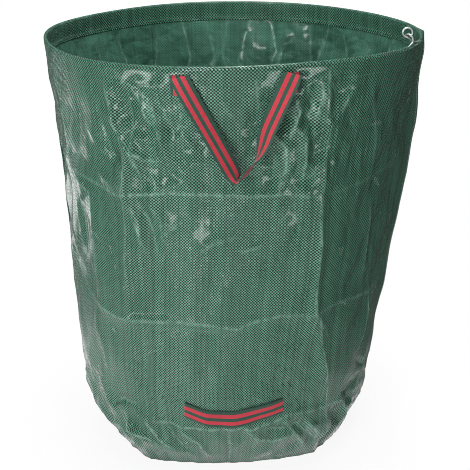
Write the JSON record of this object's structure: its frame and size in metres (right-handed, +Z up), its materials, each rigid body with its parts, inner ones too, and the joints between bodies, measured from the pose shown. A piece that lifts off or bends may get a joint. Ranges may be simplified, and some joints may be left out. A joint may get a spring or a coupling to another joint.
{
  "type": "garden waste bag",
  "caption": "Round open-topped bag of woven sheet with a sprung hoop in its hem, webbing carrying handles on the hem and a tipping handle low on the front.",
  "frame": {"origin": "middle of the bag's box, at the floor it stands on", "axes": "+Z up out of the mouth, -Y to the front with the tipping handle, +X to the side seam"},
  "size_m": [0.676, 0.7212, 0.7875],
  "materials": {
    "woven_sheet": "laminated tape weave, half gloss",
    "base_sheet": "laminated tape weave, half gloss",
    "doubled_edge": "sewn double",
    "hem_sheet": "laminated tape weave, half gloss",
    "spring_wire": "zinc plated",
    "webbing": "woven polypropylene, matt"
  },
  "bodies": {
    "base": {"wall": "woven_sheet", "base_panel": "base_sheet", "foot_seam": "doubled_edge", "lower_handle_tab_left": "webbing", "lower_handle_tab_right": "webbing"},
    "rim": {"rim_hem": "hem_sheet", "rim_hoop": "spring_wire", "front_handle_tab_left": "webbing", "front_handle_tab_right": "webbing", "back_handle_tab_left": "webbing", "back_handle_tab_right": "webbing"},
    "carrying_handle_front": {"front_handle": "webbing"},
    "carrying_handle_back": {"back_handle": "webbing"},
    "tipping_handle": {"lower_handle": "webbing"}
  },
  "joints": [
    {"name": "rim_collapse", "type": "slide", "parent": "base", "child": "rim", "axis": [0, 0, -1], "range_m": [0, 0.38], "deforming": ["wall"]},
    {"name": "front_handle_swing", "type": "hinge", "parent": "rim", "child": "carrying_handle_front", "pos_m": [0.0015, -0.33055, 0.7515], "axis": [-1, 0, 0], "range_deg": [0, 180]},
    {"name": "back_handle_swing", "type": "hinge", "parent": "rim", "child": "carrying_handle_back", "pos_m": [-0.0075, 0.33055, 0.7515], "axis": [1, 0, 0], "range_deg": [0, 180]},
    {"name": "tipping_handle_swing", "type": "hinge", "parent": "base", "child": "tipping_handle", "pos_m": [-0.002, -0.27288, 0.15856], "axis": [-1, 0, 0], "range_deg": [0, 110]}
  ]
}
